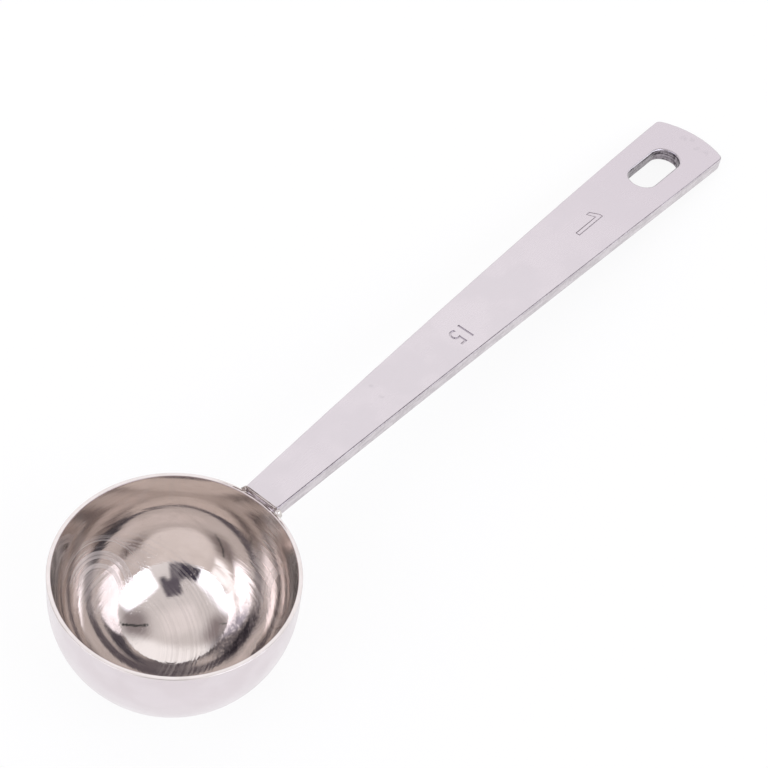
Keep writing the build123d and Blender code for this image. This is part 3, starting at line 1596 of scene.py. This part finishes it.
class WeldSurface(Enum):
    """The weld has one surface."""

    METAL = "metal"


@dataclass(frozen=True)
class Drop:
    """One drop of weld metal beside the handle.

    Attributes:
        way: The side of the handle it is on, 1 for the left and -1 for the right.
        upper_half: How its upper half is stretched along the handle, across it and upwards.
        lower_half: How its lower half is stretched.
    """

    way: float
    upper_half: Triple
    lower_half: Triple = (0.96, 0.92, 0.98)


@dataclass
class Weld:
    """Weld metal: a drop in each corner beside the handle, and a small rippled bead under it."""

    fit: Fit
    drops: tuple[Drop, ...] = (Drop(1.0, (0.92, 0.7, 1.15)), Drop(-1.0, (0.92, 0.9, 1.35)))
    nugget_radius: float = 0.75 * MM
    nugget_drop: float = 0.5 * MM
    nugget_out_share: float = 0.27
    nugget_side_share: float = 0.13
    nugget_subdivisions: int = 5
    # For each blob, how far its lumps go in or out in all, and how wide they are.
    nugget_lumps: Span = (0.11 * MM, 0.55 * MM)
    bead_leg: float = 1.1 * MM
    bead_length: float = 4.8 * MM
    bead_radius_share: float = 0.62
    bead_depth_share: float = 0.3
    bead_fullness: float = 1.6
    bead_size: float = 0.94
    bead_segments: int = 40
    bead_rings: int = 48
    bead_ripples: int = 9
    bead_ripple_share: float = 0.045
    bead_lumps: Span = (0.05 * MM, 0.6 * MM)
    lump_middle: float = 0.6
    metal: Steel = FusedMetal(
        "weld_metal", (0.70, 0.66, 0.63), (0.30, 0.25, 0.23), 0.28, 0.2, ripple_depth=30.0
    )

    def build_nuggets(self) -> Object:
        """Shapes the two drops and joins them as one piece.

        Returns:
            The drops, in their places.
        """
        nuggets = [self.build_drop(drop) for drop in self.drops]
        deselect_all()
        for nugget in nuggets:
            nugget.select_set(True)
        bpy.context.view_layer.objects.active = nuggets[0]
        bpy.ops.object.join()
        return self.finish(name_piece(bpy.context.object, "weld_drops"))

    def build_drop(self, drop: Drop) -> Object:
        """Shapes one drop in the corner between the handle's side and the bowl's wall.

        Args:
            drop: Which one.

        Returns:
            The drop, in the spoon's own frame.
        """
        side = drop.way * (self.fit.butt_width / 2.0 + self.nugget_radius * self.nugget_side_share)
        out = self.fit.seat_distance + self.nugget_radius * self.nugget_out_share
        place = Vector((out, side, -self.nugget_drop))
        deselect_all()
        bpy.ops.mesh.primitive_ico_sphere_add(
            subdivisions=self.nugget_subdivisions, radius=self.nugget_radius, location=place
        )
        nugget = name_piece(bpy.context.object, "weld_drop")
        bpy.ops.object.transform_apply(location=True)
        with editing(nugget):
            pick(nugget, Element.VERTEX, lambda vertex: vertex.co.z > place.z)
            bpy.ops.transform.resize(value=drop.upper_half, center_override=place)
            pick(nugget, Element.VERTEX, lambda vertex: vertex.co.z < place.z)
            bpy.ops.transform.resize(value=drop.lower_half, center_override=place)
        self.roughen(nugget, *self.nugget_lumps)
        return nugget

    def build_bead(self) -> Object:
        """Shapes the rippled bead in the corner under the handle.

        Returns:
            The bead, in its place.
        """
        radius = self.bead_leg * self.bead_radius_share
        inset = self.bead_leg * self.bead_depth_share
        half_length = self.bead_length / 2.0
        middle = Vector((self.fit.seat_distance + inset, 0.0, self.fit.underside_at_seat - inset))
        deselect_all()
        bpy.ops.mesh.primitive_uv_sphere_add(
            segments=self.bead_segments,
            ring_count=self.bead_rings,
            radius=radius,
            rotation=(pi / 2.0, 0.0, 0.0),
            location=middle,
        )
        bead = name_piece(bpy.context.object, "weld_seam")
        bpy.ops.object.transform_apply(location=True, rotation=True)
        with editing(bead):
            bpy.ops.mesh.select_all(action="SELECT")
            bpy.ops.transform.resize(value=(1.0, half_length / radius, 1.0), center_override=middle)
            rings = sorted({round(vertex.co.y, 6) for vertex in bmesh.from_edit_mesh(bead.data).verts})
            for ring in rings[1:-1]:
                size = self.bead_swell(ring)
                pick(bead, Element.VERTEX, lambda vertex: abs(vertex.co.y - ring) < 2.0 * LOOSE)
                bpy.ops.transform.resize(value=(size, 1.0, size), center_override=(middle.x, ring, middle.z))
        self.roughen(bead, *self.bead_lumps)
        return self.finish(bead)

    def bead_swell(self, ring: float) -> float:
        """How much a ring of the long ball is widened, for full ends and ripples.

        Args:
            ring: The ring's place along the bead, from its middle.

        Returns:
            The ring's new size, as a share of the old.
        """
        share = abs(ring) / (self.bead_length / 2.0)
        fuller = sqrt(max(0.0, 1.0 - share**6)) / max(sqrt(max(0.0, 1.0 - share**2)), 0.05)
        ripple = 1.0 + self.bead_ripple_share * cos(2.0 * pi * self.bead_ripples * ring / self.bead_length)
        return min(fuller, self.bead_fullness) * ripple * self.bead_size

    def roughen(self, piece: Object, depth: float, grain: float) -> None:
        """Gives a blob of weld metal its uneven skin.

        Args:
            piece: The smooth blob.
            depth: How far the skin goes in or out in all.
            grain: How wide its lumps are.
        """
        lumps = bpy.data.textures.new(piece.name + "_lumps", type="CLOUDS")
        lumps.noise_scale = grain
        skin = {"texture": lumps, "texture_coords": "LOCAL", "strength": depth, "mid_level": self.lump_middle}
        apply_modifier(piece, "DISPLACE", **skin)
        bpy.data.textures.remove(lumps)

    def finish(self, piece: Object) -> Object:
        """Lays a blob in its place and dresses it.

        Args:
            piece: The blob, in the spoon's own frame.

        Returns:
            The same blob.
        """
        dress(piece, {WeldSurface.METAL: self.metal}, self.fit, lambda centre, normal: WeldSurface.METAL)
        self.fit.lay_down(piece)
        take_up(piece)
        bpy.ops.object.shade_smooth()
        return piece


# ---------------------------------------------------------------- the studio


@dataclass(frozen=True)
class Panel:
    """A lit or unlit panel of the tent, by the direction that it is seen in. Angles are in degrees."""

    name: str
    azimuth: float
    elevation: float
    half_width: float
    half_height: float
    roll: float
    softness: float
    colour: Colour

    def axes(self) -> tuple[Vector, Vector, Vector]:
        """Works out where the panel is.

        Returns:
            The panel's direction, and its own level and upright directions.
        """
        azimuth, elevation, roll = (radians(angle) for angle in (self.azimuth, self.elevation, self.roll))
        out = Vector((cos(elevation) * cos(azimuth), cos(elevation) * sin(azimuth), sin(elevation)))
        level = Vector((-sin(azimuth), cos(azimuth), 0.0))
        upright = out.cross(level)
        return out, level * cos(roll) + upright * sin(roll), upright * cos(roll) - level * sin(roll)

    def share(self, direction: Signal) -> Signal:
        """Says how much of the panel is seen in a direction.

        Args:
            direction: The direction that is looked in.

        Returns:
            A share from 0 to 1.
        """
        out, level, upright = self.axes()
        ahead = direction.along(out)
        share = ahead.math("GREATER_THAN", 0.0)
        for axis, half in ((level, self.half_width), (upright, self.half_height)):
            angle = abs(direction.along(axis).math("ARCTAN2", ahead))
            share = share * angle.fade(radians(half - self.softness), radians(half + self.softness))
        return share


@dataclass
class Studio:
    """A white tent over a pale table, with soft boxes and the dark gap that the camera looks through."""

    table_size: float = 4.0
    table_colour: Colour = (0.93, 0.93, 0.935)
    white_share: float = 0.88
    low_tent: Colour = (1.07, 1.05, 1.08)
    high_tent: Colour = (0.84, 0.80, 0.81)
    tent_shading: Span = (0.2, 0.9)
    panels: tuple[Panel, ...] = (
        Panel("right_box", 284.0, 38.5, 19.5, 12.0, -16.0, 4.0, (3.1, 3.2, 3.6)),
        Panel("right_strip", 318.0, 19.0, 22.0, 5.0, 0.0, 4.0, (2.2, 2.3, 2.5)),
        Panel("left_box", 165.0, 42.0, 26.0, 11.0, 4.0, 6.0, (2.35, 2.4, 2.7)),
        Panel("backdrop", 34.0, 35.5, 43.0, 26.0, 0.0, 5.8, (1.23, 1.21, 1.24)),
        Panel("left_gap", 108.0, 53.0, 13.0, 9.0, 0.0, 8.0, (0.30, 0.255, 0.265)),
        Panel("right_gap", 326.0, 47.0, 13.0, 13.0, 0.0, 8.5, (0.32, 0.28, 0.29)),
        Panel("right_stand", 328.5, 47.0, 1.1, 13.0, 0.0, 0.5, (0.05, 0.05, 0.05)),
        Panel("left_stand", 116.0, 46.0, 0.6, 5.0, 0.0, 0.4, (0.15, 0.15, 0.15)),
        Panel("roof", 59.0, 88.0, 17.0, 13.0, 0.0, 7.0, (1.02, 0.965, 0.98)),
        Panel("photographer", 225.0, 43.5, 7.2, 9.5, 0.0, 2.5, (0.20, 0.185, 0.215)),
        Panel("camera_gap", 208.0, 43.5, 9.8, 6.8, -12.0, 2.2, (0.05, 0.043, 0.07)),
        Panel("camera_arm", 246.5, 53.5, 3.2, 8.0, 0.0, 3.0, (0.11, 0.10, 0.125)),
        Panel("camera", 234.5, 58.5, 8.0, 8.5, 0.0, 2.4, (0.12, 0.105, 0.135)),
    )

    def build(self) -> None:
        """Sets the table and the light."""
        self.build_table()
        self.build_tent()

    def build_table(self) -> None:
        """Lays the pale table top that the spoon stands on."""
        deselect_all()
        bpy.ops.mesh.primitive_plane_add(size=self.table_size, location=CENTRE)
        table = name_piece(bpy.context.object, "table_top")
        material = bpy.data.materials.new("pale_table")
        material.use_nodes = True
        shader = Shader(material.node_tree)
        paint = shader.signal(0, "ShaderNodeBsdfDiffuse", {"Color": (*self.table_colour, 1.0)})
        white = shader.signal(0, "ShaderNodeEmission", {"Color": (1.0, 1.0, 1.0, 1.0), "Strength": 1.0})
        rays = shader.add("ShaderNodeLightPath")
        seen: Number = 0.0
        for kind in ("Is Camera Ray", "Is Glossy Ray", "Is Transmission Ray"):
            seen = Signal(shader, rays.outputs[kind]).math("MAXIMUM", seen)
        mix = shader.signal(0, "ShaderNodeMixShader", {0: seen * self.white_share, 1: paint, 2: white})
        shader.add("ShaderNodeOutputMaterial", {"Surface": mix})
        table.data.materials.append(material)

    def build_tent(self) -> None:
        """Writes the tent and its panels as the light that comes from each direction."""
        world = bpy.data.worlds.new("tent")
        bpy.context.scene.world = world
        world.use_nodes = True
        shader = Shader(world.node_tree)
        direction = shader.signal("Generated", "ShaderNodeTexCoord")
        colour = direction.parts()[2].ramp(*self.tent_shading).blend(self.low_tent, self.high_tent)
        for panel in self.panels:
            colour = panel.share(direction).blend(colour, panel.colour)
            LOG.info("%s hangs at %.1f, %.1f degrees", panel.name, panel.azimuth, panel.elevation)
        light = shader.signal(0, "ShaderNodeBackground", {"Color": colour, "Strength": 1.0})
        shader.add("ShaderNodeOutputWorld", {"Surface": light})


@dataclass(frozen=True)
class PhotoCamera:
    """The camera where the photograph was taken, as seen from the spoon's own frame."""

    place: Triple = (-110.27 * MM, -97.43 * MM, 201.07 * MM)
    forward: Triple = (0.57888, 0.36136, -0.73097)
    right: Triple = (0.62992, -0.76742, 0.11947)
    picture_pixels: float = 768.0
    focal_pixels: float = 1746.6
    sensor_width: float = 36.0
    clip: Span = (0.01, 20.0)

    def build(self, fit: Fit) -> None:
        """Stands the camera in its place and makes it the scene's.

        Args:
            fit: The spoon's sizes and place.
        """
        data = bpy.data.cameras.new("photo_camera")
        data.sensor_width = self.sensor_width
        data.lens = self.sensor_width * self.focal_pixels / self.picture_pixels
        data.clip_start, data.clip_end = self.clip
        camera = bpy.data.objects.new("photo_camera", data)
        bpy.context.scene.collection.objects.link(camera)
        right = Vector(self.right).normalized()
        back = -Vector(self.forward).normalized()
        up = back.cross(right).normalized()
        turned = Matrix((right, up, back)).transposed().to_4x4()
        camera.matrix_world = fit.place() @ Matrix.Translation(self.place) @ turned
        bpy.context.scene.camera = camera


# ---------------------------------------------------------------- the making


def settle(piece: Object, slot: str, *nodes: str) -> None:
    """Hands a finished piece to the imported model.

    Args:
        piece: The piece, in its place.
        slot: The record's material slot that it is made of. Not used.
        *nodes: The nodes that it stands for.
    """
    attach(piece, "root")
    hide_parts(*nodes)
    LOG.info("%s: %d faces, stands for %s", piece.name, len(piece.data.polygons), ", ".join(nodes))


def main() -> None:
    """Builds the spoon piece by piece, and the studio round it."""
    logging.basicConfig(level=logging.INFO, format="%(name)s: %(message)s")
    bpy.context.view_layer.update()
    bpy.context.scene.view_settings.view_transform = "Standard"
    fit = Fit()
    LOG.info("the spoon leans %.2f degrees", degrees(fit.tilt))
    settle(Bowl(fit).build(), "polished_steel", "bowl")
    settle(Handle(fit).build(), "satin_steel", "handle")
    weld = Weld(fit)
    settle(weld.build_nuggets(), "weld_metal", "weld_nuggets")
    settle(weld.build_bead(), "weld_metal", "weld_bead")
    Studio().build()
    PhotoCamera().build(fit)


if __name__ == "__main__":
    main()
